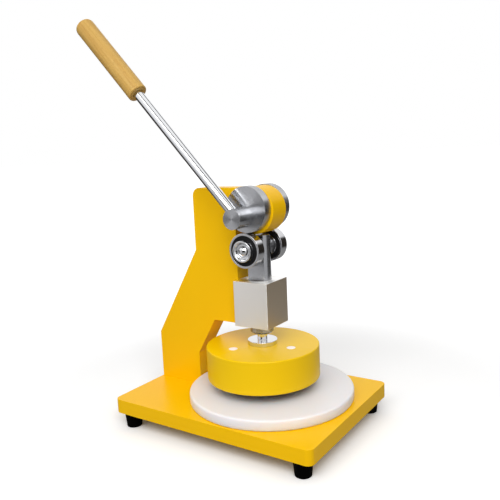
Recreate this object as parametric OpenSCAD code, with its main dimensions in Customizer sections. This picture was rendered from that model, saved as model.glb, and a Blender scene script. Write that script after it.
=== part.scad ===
// Circular sample cutter, lever press type.
// A lever turns two eccentric discs. They push two ball bearings on the head of a ram,
// and the ram presses a round cutting ring through a sheet that lies on a plastic pad.
// Z is up and X points from the column towards the operator. The origin is on the ram's
// axis, in the top face of the cutting pad. Sizes are in millimetres.

/* [Base plate] */
// Length of the base plate along X
base_length = 270; // [240:1:320]
// Width of the base plate along Y
base_w = 200; // [180:1:260]
// Thickness of the base plate
base_t = 17; // [12:0.5:25]
// Radius of the base plate's corners
base_corner_r = 8; // [3:0.5:20]
// Distance from the ram's axis back to the rear edge of the base plate
base_rear = 154; // [154:1:180]
// Width of the softened edges of the painted plates
soft_edge = 1.2; // [0.5:0.1:2]

/* [Feet] */
// Height of a rubber foot
foot_h = 19; // [12:0.5:30]
// Diameter of a foot where it meets the base plate
foot_top_d = 22; // [20:0.5:27]
// Diameter of a foot on the bench
foot_bottom_d = 18; // [16:0.5:26]
// Distance from the plate's ends to the feet's axes
foot_inset_l = 17; // [14:0.5:30]
// Distance from the plate's sides to the feet's axes
foot_inset_w = 14; // [13.5:0.5:30]
// Diameter of the screw that holds a foot
foot_screw_d = 5; // [4:0.5:6]
// Thread length of that screw in the base plate
foot_screw_grip = 10; // [6:0.5:11]

/* [Cutting pad] */
// Diameter of the cutting pad
pad_d = 196; // [180:1:198]
// Thickness of the cutting pad
pad_t = 12.5; // [8:0.5:20]
// Gap between the pad and the column behind it
pad_gap = 0.5; // [0.5:0.5:3]
// Radius of the pad's rounded rims
pad_edge_r = 1.5; // [0.5:0.1:3]

/* [Frame] */
// Thickness of the frame plate
frame_t = 25; // [20:0.5:30]
// Distance from the ram's axis back to the rear of the column's foot
column_rear = 152; // [146:1:153]
// Distance from the ram's axis back to the front of the column
column_front = 88.5; // [88.5:0.5:100]
// Height of the vertical part of the column's rear edge
column_knee_h = 61.5; // [40:0.5:80]
// Distance from the ram's axis back to the rear edge of the arm
arm_rear = 84.5; // [70:0.5:100]
// Height above the base plate where the sloping rear edge ends
arm_slope_h = 174; // [150:1:190]
// Height of the arm's lower edge above the base plate
arm_h = 88; // [86:0.5:96]
// Width of the slanted corner in the throat
throat_slant_w = 27.5; // [15:0.5:40]
// Height of the slanted corner in the throat
throat_slant_h = 46; // [25:0.5:60]
// Radius of the arm's upper rear corner
arm_corner_r = 10; // [5:0.5:20]
// Diameter of the bolts between the base plate and the frame
frame_bolt_d = 8; // [6:0.5:10]
// Number of bolts in a row along the column's foot
frame_bolts_n = 3; // [2:1:4]
// Distance between those bolts
frame_bolt_pitch = 19; // [16:0.5:20]
// Thread length of those bolts in the frame
frame_bolt_grip = 20; // [14:0.5:30]

/* [Shaft and tube] */
// Height of the shaft's axis above the base plate
shaft_h = 218; // [216:0.5:230]
// Diameter of the shaft and of its boss
shaft_d = 23; // [20:0.5:25]
// Outside diameter of the tube that holds the shaft
tube_d = 54.6; // [50:0.2:57]
// Length of that tube
tube_l = 28.4; // [28:0.2:36]
// Distance of the tube's axis in front of the shaft's axis
tube_x = 3; // [0:0.5:4]
// Height of the tube's axis above the shaft's axis
tube_up = 6.2; // [4:0.2:8]
// Height of the tube's top above the frame plate
tube_proud = 1.5; // [0.5:0.5:3]
// Length of the boss in front of the front disc
boss_l = 25.5; // [22:0.5:40]
// Distance from the boss's end to the lever's axis
lever_inset = 11.5; // [9:0.5:14]
// Wall of a shaft bush
bush_wall = 3; // [2:0.25:4]
// Length of a shaft bush
bush_l = 13.5; // [10:0.5:13.5]
// Side of the square key between shaft and disc
key_w = 6; // [4:0.5:8]

/* [Eccentric discs] */
// Diameter of the eccentric discs
disc_d = 52.5; // [50:0.5:54]
// Thickness of the eccentric discs
disc_t = 12.2; // [10:0.1:14]
// Distance from the shaft's axis to the discs' centre
eccentricity = 8.4; // [6:0.2:9]
// Angle at rest by which the discs' centre leans forward of the shaft's top
ecc_lean = 10; // [0:1:15]
// Width of the bevel on the discs' rims
disc_bevel = 0.8; // [0.3:0.1:1.5]
// Diameter of the grub screw in each disc
grub_d = 6; // [4:0.5:6]

/* [Lever] */
// Diameter of the lever rod
rod_d = 12; // [8:0.5:14]
// Distance from the shaft's axis to the wooden grip
grip_start = 199; // [120:1:260]
// Length of the wooden grip
grip_l = 123; // [90:1:150]
// Diameter of the wooden grip
grip_d = 24; // [20:0.5:30]
// Radius of the grip's rounded ends
grip_end_r = 3; // [1:0.5:6]
// Angle of the resting lever above the horizontal, leaning back
lever_rest = 47; // [35:1:60]
// Angle through which the lever swings to the end of its stroke
lever_swing = 95; // [80:1:110]

/* [Roller bearings] */
// Outside diameter of a bearing
bearing_d = 40; // [36:0.5:42]
// Bore of a bearing
bearing_bore = 17; // [15:0.5:18]
// Width of a bearing
bearing_w = 12; // [10:0.5:13]
// Diameter of a ball
ball_d = 6.75; // [5.5:0.25:7]
// Number of balls
balls_n = 8; // [6:1:8]
// Distance from the ram's axis to the outer face of each bearing
bearing_out = 31; // [30:0.5:34]
// Diameter of the cup washer on each end of the axle
end_washer_d = 24.5; // [23:0.5:28]
// Height of the cup washer's rim
end_washer_h = 5; // [3:0.25:6]
// Thickness of the cup washer's floor
end_washer_t = 1.5; // [1:0.25:2.5]
// Width of the cup washer's rim
end_washer_rim = 2; // [1:0.25:3]
// Diameter of the domed screw's head, which lies in the cup
dome_d = 13; // [10:0.5:13.5]
// Height of the domed screw's head
dome_h = 4; // [3:0.25:5]

/* [Ram and guide block] */
// Diameter of the ram's head
ram_d = 27.5; // [24:0.5:28]
// Width of the ram's head over its two flats
ram_flats = 16; // [14:0.5:20]
// Distance from the tube down to the top of the ram
ram_top_gap = 1.9; // [1:0.1:6]
// Diameter of the ram's stem
stem_d = 16; // [15:0.5:18]
// Side of the square guide block
block_w = 46; // [44:0.5:56]
// Height of the guide block
block_h = 54; // [50:0.5:60]
// Width of the softened edges of the guide block
block_edge = 0.6; // [0.3:0.1:1]
// Bore of the guide block, which holds the guide bushes
block_bore_d = 32; // [31:0.5:34]
// Length of the upper guide bush
upper_bush_l = 14; // [12:0.5:15]
// Length of the lower guide bush
lower_bush_l = 14; // [10:0.5:14]
// Diameter of the screws that hold the block to the frame
block_screw_d = 6; // [5:0.5:6]
// Distance of those screws from the ends of the guide block
block_screw_inset = 12; // [10:0.5:16]
// Diameter of the return spring's wire
wire_d = 1.6; // [1.2:0.1:1.6]
// Number of turns of the return spring
spring_turns = 5; // [4:0.5:5.5]
// Diameter of the stop collar
collar_d = 28; // [26:0.5:34]
// Height of the stop collar
collar_h = 10; // [8:0.5:14]
// Width of the bevel round the collar's lower rim
collar_bevel = 2; // [1:0.5:4]

/* [Cutter head] */
// Outside diameter of the cutter housing
housing_d = 135; // [132:1:146]
// Height of the cutter housing
housing_h = 39; // [34:0.5:42]
// Thickness of the housing's top
housing_top_t = 10; // [8:0.5:12]
// Radius of the housing's rounded rims
housing_edge_r = 1.5; // [0.5:0.1:3]
// Inside diameter of the cutting ring, for a sample of 100 square centimetres
sample_d = 112.8; // [105:0.1:114]
// Wall of the cutting ring
ring_wall = 4; // [3:0.25:5]
// Thickness of the disc that carries the cutting ring
ring_plate_t = 8; // [6:0.5:10]
// Height of the bevel that sharpens the ring from outside
ring_bevel_h = 7; // [4:0.5:9]
// Depth of the cutting edge below the housing
edge_proud = 2; // [1:0.25:3]
// Distance from the cutting edge to the pad at the end of the stroke
edge_clearance = 0.15; // [0.1:0.05:1]
// Diameter of the spindle's flange
flange_d = 35.5; // [30:0.5:40]
// Thickness of the spindle's flange
flange_t = 5.5; // [4:0.5:6]
// Diameter of the spindle's neck
neck_d = 12; // [10:0.5:14]
// Diameter of the spindle's threaded ends
stud_d = 10; // [8:0.5:10]
// Diameter of the white plugs in the housing's top
plug_d = 10.5; // [9:0.5:12]
// Radius of the circle on which the plugs and the ring's screws lie
plug_circle_r = 39; // [34:0.5:44]
// Number of plugs and of screws under them
plugs_n = 3; // [2:1:6]
// Diameter of the screws that hold the cutting ring
ring_screw_d = 6; // [4:0.5:6]

/* [Clearances] */
// Radial gap of a shaft or ram that runs in a bush
running_gap = 0.03; // [0.02:0.01:0.06]
// Radial gap round a piece that is pressed or bolted in
seat_gap = 0.02; // [0.01:0.01:0.05]
// Gap between an eccentric disc and the bearing under it
roller_gap = 0.2; // [0.1:0.05:0.3]
// Side gap between parts that turn past each other
side_gap = 0.2; // [0.1:0.05:0.4]
// Radial gap round a threaded end in its hole
thread_gap = 0.05; // [0.02:0.01:0.1]

/* [Hidden] */
$fn = 96;

// How far a cutting shape reaches past the face that it cuts
over = 1;
// Radial room round a screw's head in its recess
head_room = 0.5;

// Heights, from the pad's top face at zero
base_top = -pad_t;
base_bottom = base_top - base_t;
foot_bottom = base_bottom - foot_h;
shaft_z = base_top + shaft_h;
tube_z = shaft_z + tube_up;
frame_top = tube_z + tube_d / 2 - tube_proud;
block_z = base_top + arm_h;
block_top = block_z + block_h;
ram_top = tube_z - tube_d / 2 - ram_top_gap;
// The discs' centre at rest, and the bearings' axle, which lies straight under the shaft
disc_x = eccentricity * sin(ecc_lean);
disc_z = shaft_z + eccentricity * cos(ecc_lean);
roll_reach = disc_d / 2 + roller_gap + bearing_d / 2;
axle_z = disc_z - sqrt(pow(roll_reach, 2) - pow(disc_x, 2));
// The discs' centre at the end of the lever's swing, and the travel of the ram that it gives
end_x = eccentricity * sin(ecc_lean + lever_swing);
end_z = shaft_z + eccentricity * cos(ecc_lean + lever_swing);
stroke = axle_z - end_z + sqrt(pow(roll_reach, 2) - pow(end_x, 2));
edge_z = stroke + edge_clearance;
housing_z = edge_z + edge_proud;
housing_top = housing_z + housing_h;
flange_top = housing_top + flange_t;
stop_gap = 0.3;
collar_z = block_z - stop_gap - collar_h;
// Thickness of the lip that closes the guide block's bore at the top
block_lip = 2;
// The ram's shoulder rests just below the upper bush, on the return spring
shoulder_drop = 2;
shoulder_z = block_top - block_lip - upper_bush_l - shoulder_drop;
spring_seat_z = block_z + lower_bush_l;

// Places along the shaft
disc_in = tube_l / 2 + side_gap;
disc_out = disc_in + disc_t;
boss_end = disc_out + boss_l;
lever_y = lever_inset - boss_end;
bearing_mid = bearing_out - bearing_w / 2;
pad_shift = pad_d / 2 + pad_gap - column_front;

// Bearing races
pitch_r = (bearing_d + bearing_bore) / 4;
ball_gap = 0.04;
race_r = ball_d / 2 + ball_gap;
// How far the inner race's shoulders lie inside the circle of the balls' centres
inner_drop = 2;
inner_shoulder_r = pitch_r - inner_drop;
// The seals sit in a step of the outer race, inside this wall, and reach in to the inner race
outer_wall = 2.5;
seal_out_r = bearing_d / 2 - outer_wall;
seal_step = 0.65;
outer_shoulder_r = seal_out_r - seal_step;
seal_t = 1;
seal_inset = 0.4;

// Cutter head
skirt_gap = 0.5;
ring_r = sample_d / 2 + ring_wall;
skirt_r = ring_r + skirt_gap;
ring_top = housing_top - housing_top_t;
plug_t = 2.5;
nut_h = 8;
nut_w = 16;
washer_t = 2;
washer_d = 24;
spindle_hole_r = stud_d / 2 + thread_gap;

// Cylinder along Y from y0 to y1, centred on height z and on x
module bar_y(r, y0, y1, z, x = 0) {
    translate([x, y1, z])
        rotate([90, 0, 0])
            cylinder(r = r, h = y1 - y0);
}

// Puts its children at each foot's axis
module at_feet() {
    for (x = [base_length - base_rear - foot_inset_l, foot_inset_l - base_rear],
         y = [-1, 1] * (base_w / 2 - foot_inset_w))
        translate([x, y, 0])
            children();
}

// Flat disc with rounded rims
module rounded_disc(r, h, e) {
    rotate_extrude() {
        square([r - e, h]);
        translate([0, e])
            square([r, h - 2 * e]);
        for (z = [e, h - e])
            translate([r - e, z])
                circle(r = e, $fn = 24);
    }
}

// Ring between two radii, with its lower face at zero
module ring(r_out, r_in, h) {
    difference() {
        cylinder(r = r_out, h = h);
        translate([0, 0, -over])
            cylinder(r = r_in, h = h + 2 * over);
    }
}

// Cross-section of a bar with softened edges of width e, with its lower side at zero
module soft_bar(w, t, e) {
    polygon([[e - w / 2, 0], [w / 2 - e, 0], [w / 2, e], [w / 2, t - e], [w / 2 - e, t],
        [e - w / 2, t], [-w / 2, t - e], [-w / 2, e]]);
}

// Plate with rounded corners of radius r, centred on Z, with its lower face at zero
module soft_plate(l, w, t, r, e) {
    rotate([90, 0, 0])
        linear_extrude(w - 2 * r, center = true)
            soft_bar(l, t, e);
    rotate([90, 0, 90])
        linear_extrude(l - 2 * r, center = true)
            soft_bar(w, t, e);
    for (x = [-1, 1] * (l / 2 - r), y = [-1, 1] * (w / 2 - r))
        translate([x, y, 0])
            rotate_extrude()
                polygon([[0, 0], [r - e, 0], [r, e], [r, t - e], [r - e, t], [0, t]]);
}

// Base and feet

// Head and socket of a socket head screw of diameter d
function head_d(d) = 1.5 * d + 0.5;
function socket_d(d) = 0.85 * d;

// X places of the bolts that hold the frame down
frame_bolt_x = [for (i = [0:frame_bolts_n - 1])
    -(column_rear + column_front) / 2 + (i - (frame_bolts_n - 1) / 2) * frame_bolt_pitch];
frame_bolt_sink = frame_bolt_d + head_room;

module base_plate() {
    color("#f2bb05")
        difference() {
            translate([base_length / 2 - base_rear, 0, base_bottom])
                soft_plate(base_length, base_w, base_t, base_corner_r, soft_edge);
            for (x = frame_bolt_x)
                translate([x, 0, base_bottom - over]) {
                    cylinder(d = frame_bolt_d + 2 * thread_gap, h = base_t + 2 * over);
                    cylinder(d = head_d(frame_bolt_d) + 2 * head_room, h = frame_bolt_sink + over);
                }
            at_feet()
                translate([0, 0, base_bottom - over])
                    cylinder(d = foot_screw_d + 2 * thread_gap, h = foot_screw_grip + 2 * over);
        }
}

foot_screw_head_h = 3.5;
foot_screw_head_d = 2 * foot_screw_d;
foot_recess = 9;

// One tapered rubber foot with a recess for its screw
module foot() {
    color("#1d1d1f")
        translate([0, 0, foot_bottom])
            difference() {
                cylinder(d1 = foot_bottom_d, d2 = foot_top_d, h = foot_h);
                translate([0, 0, -over])
                    cylinder(d = foot_screw_head_d + 2 * head_room, h = foot_recess + over);
                cylinder(d = foot_screw_d + 2 * thread_gap, h = foot_h + over);
            }
}

module foot_at(front, side) {
    translate([front ? base_length - base_rear - foot_inset_l : foot_inset_l - base_rear,
        side * (base_w / 2 - foot_inset_w), 0])
        foot();
}

module foot_front_left() { foot_at(true, -1); }
module foot_front_right() { foot_at(true, 1); }
module foot_rear_left() { foot_at(false, -1); }
module foot_rear_right() { foot_at(false, 1); }

// Socket head screw that points up, with the underside of its head at zero
module socket_screw(d, grip, head_h, head_w) {
    difference() {
        union() {
            cylinder(d = d, h = grip);
            translate([0, 0, -head_h])
                cylinder(d = head_w, h = head_h);
        }
        translate([0, 0, -head_h - over])
            cylinder(d = socket_d(d), h = head_h / 2 + over, $fn = 6);
    }
}

module foot_screws() {
    color("#b9bcc0")
        at_feet()
            translate([0, 0, foot_bottom + foot_recess])
                socket_screw(foot_screw_d, foot_h - foot_recess + foot_screw_grip,
                    foot_screw_head_h, foot_screw_head_d);
}

module cutting_pad() {
    color("#f4f4f2")
        translate([pad_shift, 0, base_top])
            rounded_disc(pad_d / 2, pad_t, pad_edge_r);
}

// Frame

// Side view of the frame plate: X to the front, Y of the drawing is the height
arm_front = block_w / 2;
// Distance behind the shaft's axis at which the plate's top edge ends over the tube
top_tip = 9;
module frame_side() {
    difference() {
        polygon([[-column_rear, base_top], [-column_front, base_top],
            [-column_front, block_z - throat_slant_h], [-column_front + throat_slant_w, block_z],
            [-arm_front, block_z], [-arm_front, tube_z], [-top_tip, tube_z],
            [-top_tip, frame_top], [-arm_rear, frame_top], [-arm_rear, base_top + arm_slope_h],
            [-column_rear, base_top + column_knee_h]]);
        translate([-arm_rear, frame_top - arm_corner_r])
            difference() {
                translate([-over, 0])
                    square([arm_corner_r + over, arm_corner_r + over]);
                translate([arm_corner_r, 0])
                    circle(r = arm_corner_r);
            }
    }
}

// Heights of the two screws between block and frame
block_screw_z = [block_z + block_screw_inset, block_top - block_screw_inset];
block_screw_grip = 18;

module frame_plate() {
    color("#f2bb05")
        difference() {
            rotate([90, 0, 0])
                linear_extrude(frame_t, center = true)
                    frame_side();
            bar_y(tube_d / 2, -frame_t, frame_t, tube_z, tube_x);
            for (x = frame_bolt_x)
                translate([x, 0, base_top - over])
                    cylinder(d = frame_bolt_d + 2 * thread_gap, h = frame_bolt_grip + 2 * over);
            for (z = block_screw_z)
                translate([-arm_front + over, 0, z])
                    rotate([0, -90, 0])
                        cylinder(d = block_screw_d + 2 * thread_gap, h = block_screw_grip + 2 * over);
        }
}

module frame_bolts() {
    color("#3a3c40")
        for (x = frame_bolt_x)
            translate([x, 0, base_bottom + frame_bolt_sink])
                socket_screw(frame_bolt_d, base_t - frame_bolt_sink + frame_bolt_grip,
                    frame_bolt_d, head_d(frame_bolt_d));
}

// Tube for the shaft. Its bore lies off centre, low and towards the frame
bush_r = shaft_d / 2 + bush_wall;
module shaft_tube() {
    color("#f2bb05")
        difference() {
            bar_y(tube_d / 2, -tube_l / 2, tube_l / 2, tube_z, tube_x);
            bar_y(bush_r + seat_gap, -tube_l, tube_l, shaft_z);
        }
}

module shaft_bushes() {
    color("#b08d57")
        for (s = [-1, 1])
            translate([0, s * (tube_l - bush_l) / 2 + bush_l / 2, shaft_z])
                rotate([90, 0, 0])
                    ring(bush_r, shaft_d / 2 + running_gap, bush_l);
}

// Guide block and what is in it

// Radial gap of the ram in the lip that closes the bore at the block's top
lip_gap = 0.25;
module guide_block() {
    color("#c3c3c1")
        difference() {
            translate([0, 0, block_z])
                intersection() {
                    translate([0, -block_w / 2, 0])
                        linear_extrude(block_h)
                            soft_bar(block_w, block_w, block_edge);
                    rotate([90, 0, 0])
                        linear_extrude(block_w, center = true)
                            soft_bar(block_w, block_h, block_edge);
                    rotate([90, 0, 90])
                        linear_extrude(block_w, center = true)
                            soft_bar(block_w, block_h, block_edge);
                }
            translate([0, 0, block_z - over])
                cylinder(d = block_bore_d, h = block_h - block_lip + over);
            translate([0, 0, block_top - block_lip - over])
                cylinder(r = ram_d / 2 + lip_gap, h = block_lip + 2 * over);
            for (z = block_screw_z)
                translate([0, 0, z])
                    rotate([0, -90, 0]) {
                        cylinder(d = block_screw_d + 2 * thread_gap, h = block_w);
                        cylinder(d = block_head_d + 2 * side_gap, h = block_head_x);
                    }
        }
}

// The screws are driven from inside the bore, and their thin heads lie sunk in its wall
block_head_d = 2 * block_screw_d;
block_head_t = 0.75;
block_head_x = block_bore_d / 2 + block_head_t;
block_socket_depth = 2;
module block_screws() {
    color("#3a3c40")
        for (z = block_screw_z)
            translate([-block_head_x, 0, z])
                rotate([0, -90, 0])
                    difference() {
                        union() {
                            cylinder(d = block_screw_d,
                                h = arm_front - block_head_x + block_screw_grip);
                            translate([0, 0, -block_head_t])
                                cylinder(d = block_head_d, h = block_head_t);
                        }
                        translate([0, 0, -block_head_t - over])
                            cylinder(d = grub_socket * block_screw_d, h = block_socket_depth + over,
                                $fn = 6);
                    }
}

module upper_guide_bush() {
    color("#b08d57")
        translate([0, 0, block_top - block_lip - upper_bush_l])
            ring(block_bore_d / 2 - seat_gap, ram_d / 2 + running_gap, upper_bush_l);
}

module lower_guide_bush() {
    color("#b08d57")
        translate([0, 0, block_z])
            ring(block_bore_d / 2 - seat_gap, stem_d / 2 + running_gap, lower_bush_l);
}

// Return spring: a round wire swept along a helix, with its ends closed flat
spring_steps = 20;
spring_sides = 8;
spring_room = 1;
spring_gap = 0.1;
spring_r = stem_d / 2 + wire_d / 2 + spring_room;
spring_end_turn = 0.75;
function spring_climb(t) =
    let (live = spring_turns - 2 * spring_end_turn,
         low = min(t, spring_end_turn) + max(0, t - spring_turns + spring_end_turn),
         mid = min(max(t - spring_end_turn, 0), live),
         room = shoulder_z - spring_seat_z - 2 * spring_gap - wire_d,
         pitch = (room - 2 * spring_end_turn * wire_d) / live)
    low * wire_d + mid * pitch;
module return_spring() {
    rings = spring_turns * spring_steps;
    color("#8f9499")
        translate([0, 0, spring_seat_z + wire_d / 2 + spring_gap])
            polyhedron(
                points = [for (i = [0:rings], k = [0:spring_sides - 1])
                    let (turn = i / spring_steps, a = 360 * turn, b = 360 * k / spring_sides,
                         r = spring_r + wire_d / 2 * cos(b))
                    [r * cos(a), r * sin(a), spring_climb(turn) + wire_d / 2 * sin(b)]],
                faces = concat(
                    [[for (k = [0:spring_sides - 1]) k]],
                    [[for (k = [spring_sides - 1:-1:0]) rings * spring_sides + k]],
                    [for (i = [0:rings - 1], k = [0:spring_sides - 1])
                        let (a = i * spring_sides, b = a + spring_sides, m = (k + 1) % spring_sides)
                        [a + k, b + k, b + m, a + m]]),
                convexity = 10);
}

// Shaft, discs and lever

key_depth = 0.55 * key_w;
key_top = shaft_d / 2 + key_w - key_depth;
rod_depth = 0.6 * shaft_d;

// Puts its children on the lever's axis, which runs along their Z from the shaft's axis
module along_lever() {
    translate([0, lever_y, shaft_z])
        rotate([0, lever_rest - 90, 0])
            children();
}

// The keyways are open at the discs' inner faces and stop this far from their outer faces
key_cover = 3.5;
key_l = disc_t - key_cover;
module key_slots(gap) {
    for (s = [-1, 1])
        translate([-key_w / 2 - gap, s * (disc_in + key_l / 2) - key_l / 2 - gap,
            shaft_z + shaft_d / 2 - key_depth - gap])
            cube([key_w + 2 * gap, key_l + 2 * gap, key_w + 2 * gap]);
}

module cam_shaft() {
    color("#b4b6b8")
        difference() {
            translate([0, -boss_end, shaft_z])
                rotate([-90, 0, 0])
                    rotate_extrude()
                        polygon([[0, 0], [shaft_d / 2 - disc_bevel, 0], [shaft_d / 2, disc_bevel],
                            [shaft_d / 2, boss_end + disc_out - disc_bevel],
                            [shaft_d / 2 - disc_bevel, boss_end + disc_out], [0, boss_end + disc_out]]);
            along_lever()
                translate([0, 0, shaft_d / 2 - rod_depth])
                    cylinder(d = rod_d + 2 * thread_gap, h = shaft_d);
            key_slots(seat_gap);
        }
}

module eccentric(side) {
    y0 = side < 0 ? -disc_out : disc_in;
    color("#a9abad")
        difference() {
            translate([disc_x, y0, disc_z])
                rotate([-90, 0, 0])
                    rotate_extrude()
                        polygon([[0, 0], [disc_d / 2 - disc_bevel, 0], [disc_d / 2, disc_bevel],
                            [disc_d / 2, disc_t - disc_bevel], [disc_d / 2 - disc_bevel, disc_t],
                            [0, disc_t]]);
            bar_y(shaft_d / 2 + seat_gap, y0 - over, y0 + disc_t + over, shaft_z);
            key_slots(seat_gap);
            translate([0, y0 + disc_t / 2, shaft_z])
                rotate([0, -90, 0])
                    cylinder(d = grub_d + 2 * thread_gap, h = disc_d);
        }
}

module front_eccentric() { eccentric(-1); }
module rear_eccentric() { eccentric(1); }

module disc_keys() {
    color("#6f7276")
        key_slots(0);
}

grub_l = 10;
// Width of a grub screw's socket as a share of its diameter, and the socket's depth
grub_socket = 0.58;
grub_socket_h = 3;
// Headless screw along Z from zero, with its socket at the far end
module grub_screw(d, l) {
    difference() {
        cylinder(d = d, h = l);
        translate([0, 0, l - grub_socket_h])
            cylinder(d = grub_socket * d, h = grub_socket_h + over, $fn = 6);
    }
}

module disc_grub_screws() {
    color("#3a3c40")
        for (s = [-1, 1])
            translate([-shaft_d / 2 - seat_gap, s * (disc_in + disc_t / 2), shaft_z])
                rotate([0, -90, 0])
                    grub_screw(grub_d, grub_l);
}

rod_in_grip = 0.7 * grip_l;
rod_end_gap = 0.2;
module lever_rod() {
    color("#cfd2d5")
        along_lever()
            translate([0, 0, shaft_d / 2 - rod_depth + rod_end_gap])
                cylinder(d = rod_d, h = grip_start + rod_in_grip - shaft_d / 2 + rod_depth
                    - rod_end_gap);
}

module lever_grip() {
    color("#c98f4e")
        along_lever()
            translate([0, 0, grip_start])
                difference() {
                    rounded_disc(grip_d / 2, grip_l, grip_end_r);
                    translate([0, 0, -over])
                        cylinder(d = rod_d + 2 * seat_gap, h = rod_in_grip + rod_end_gap + over);
                }
}

// Ram

flats_down = 5;
ram_rim = 1;
stem_end = collar_z;
module ram() {
    color("#aeb0b3")
        difference() {
            rotate_extrude()
                polygon([[0, stem_end], [stem_d / 2, stem_end], [stem_d / 2, shoulder_z],
                    [ram_d / 2, shoulder_z], [ram_d / 2, ram_top - ram_rim],
                    [ram_d / 2 - ram_rim, ram_top], [0, ram_top]]);
            for (s = [-1, 1])
                translate([-ram_d, s < 0 ? -ram_d : ram_flats / 2, block_top - flats_down])
                    cube([2 * ram_d, ram_d - ram_flats / 2, ram_top]);
            bar_y(bearing_bore / 2 + seat_gap, -ram_d, ram_d, axle_z);
            translate([0, 0, stem_end - over])
                cylinder(r = spindle_hole_r, h = stud_up + 2 * over);
            translate([0, 0, collar_grub_z])
                rotate([0, -90, 0])
                    cylinder(d = collar_grub_d + 2 * thread_gap, h = stem_d);
        }
}

// The axle ends flush with the bearings, and the domed screws pull the washers on them
module roller_axle() {
    color("#9a9da1")
        difference() {
            bar_y(bearing_bore / 2, -bearing_out, bearing_out, axle_z);
            for (s = [-1, 1])
                translate([0, s * (bearing_out - dome_grip), axle_z])
                    rotate([s < 0 ? 90 : -90, 0, 0])
                        cylinder(d = dome_screw_d + 2 * thread_gap, h = dome_grip + over);
        }
}

module axle_spacers() {
    spacer_l = bearing_out - bearing_w - ram_flats / 2;
    color("#b4b6b8")
        for (s = [-1, 1])
            translate([0, s < 0 ? -ram_flats / 2 : bearing_out - bearing_w, axle_z])
                rotate([90, 0, 0])
                    ring(inner_shoulder_r - head_room, bearing_bore / 2 + seat_gap, spacer_l);
}

// Cup washers: the high rim slopes in to the floor that the domed screw presses on
cup_room = 1.5;
module end_washers() {
    r = end_washer_d / 2;
    hole_r = dome_screw_d / 2 + thread_gap;
    color("#b9bcc0")
        for (s = [-1, 1])
            translate([0, s * bearing_out, axle_z])
                rotate([s < 0 ? 90 : -90, 0, 0])
                    rotate_extrude()
                        polygon([[hole_r, 0], [r, 0], [r, end_washer_h],
                            [r - end_washer_rim, end_washer_h],
                            [dome_d / 2 + cup_room, end_washer_t], [hole_r, end_washer_t]]);
}

dome_screw_d = 8;
dome_grip = 16;
// Radius of the sphere that gives the screw's head its dome
dome_r = (dome_d * dome_d / 4 + dome_h * dome_h) / (2 * dome_h);
module domed_screws() {
    color("#d5d7d9")
        for (s = [-1, 1])
            translate([0, s * (bearing_out + end_washer_t), axle_z])
                rotate([s < 0 ? 90 : -90, 0, 0]) {
                    intersection() {
                        translate([0, 0, dome_h - dome_r])
                            sphere(r = dome_r);
                        cylinder(d = dome_d, h = dome_h);
                    }
                    translate([0, 0, -dome_grip])
                        cylinder(d = dome_screw_d, h = dome_grip + over);
                }
}

// Roller bearings, drawn about the Z axis with their middle at zero

module groove() {
    rotate_extrude()
        translate([pitch_r, 0])
            circle(r = race_r, $fn = 48);
}

module inner_race() {
    color("#c4c6c8")
        difference() {
            translate([0, 0, -bearing_w / 2])
                ring(inner_shoulder_r, bearing_bore / 2 + seat_gap, bearing_w);
            groove();
        }
}

module outer_race() {
    r = bearing_d / 2;
    h = bearing_w / 2;
    rim = 0.6;
    seat = seal_t + seal_inset;
    color("#c4c6c8")
        difference() {
            rotate_extrude()
                polygon([[outer_shoulder_r, -h + seat], [seal_out_r, -h + seat], [seal_out_r, -h],
                    [r - rim, -h], [r, -h + rim], [r, h - rim], [r - rim, h], [seal_out_r, h],
                    [seal_out_r, h - seat], [outer_shoulder_r, h - seat]]);
            groove();
        }
}

module bearing_seals() {
    color("#17181a")
        for (s = [-1, 1])
            translate([0, 0, s * (bearing_w / 2 - seal_inset - seal_t / 2) - seal_t / 2])
                ring(seal_out_r - seat_gap, inner_shoulder_r + side_gap / 2, seal_t);
}

module ball_ring() {
    color("#d8dadc")
        for (i = [0:balls_n - 1])
            rotate(360 * i / balls_n)
                translate([pitch_r, 0, 0])
                    sphere(d = ball_d);
}

// The cage reaches past the balls by a thin rim on each side
cage_rim = 0.8;
cage_h = ball_d + 2 * cage_rim;
cage_w = 1.6;
module ball_cage() {
    color("#a38a55")
        difference() {
            translate([0, 0, -cage_h / 2])
                ring(pitch_r + cage_w / 2, pitch_r - cage_w / 2, cage_h);
            for (i = [0:balls_n - 1])
                rotate(360 * i / balls_n)
                    translate([pitch_r - ball_d, 0, 0])
                        rotate([0, 90, 0])
                            cylinder(d = ball_d + 2 * ball_gap, h = 2 * ball_d);
        }
}

// Puts a bearing's piece on the axle, at the front for -1 and at the rear for 1
module on_axle(side) {
    translate([0, side * bearing_mid, axle_z])
        rotate([90, 0, 0])
            children();
}

module front_inner_race() { on_axle(-1) inner_race(); }
module rear_inner_race() { on_axle(1) inner_race(); }
module front_outer_race() { on_axle(-1) outer_race(); }
module rear_outer_race() { on_axle(1) outer_race(); }
module front_seals() { on_axle(-1) bearing_seals(); }
module rear_seals() { on_axle(1) bearing_seals(); }
module front_balls() { on_axle(-1) ball_ring(); }
module rear_balls() { on_axle(1) ball_ring(); }
module front_cage() { on_axle(-1) ball_cage(); }
module rear_cage() { on_axle(1) ball_cage(); }

// Stop collar on the ram's stem

collar_grub_d = 4;
// The grub screw sits at the middle of the collar's straight part
collar_grub_z = collar_z + (collar_h + collar_bevel) / 2;
// Depth to which that screw reaches into the stem
collar_grub_dog = 1;
module stop_collar() {
    color("#a9abad")
        translate([0, 0, collar_z])
            difference() {
                rotate_extrude()
                    polygon([[stem_d / 2 + seat_gap, 0], [collar_d / 2 - collar_bevel, 0],
                        [collar_d / 2, collar_bevel], [collar_d / 2, collar_h],
                        [stem_d / 2 + seat_gap, collar_h]]);
                translate([0, 0, collar_grub_z - collar_z])
                    rotate([0, -90, 0])
                        cylinder(d = collar_grub_d + 2 * thread_gap, h = collar_d);
            }
}

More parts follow.
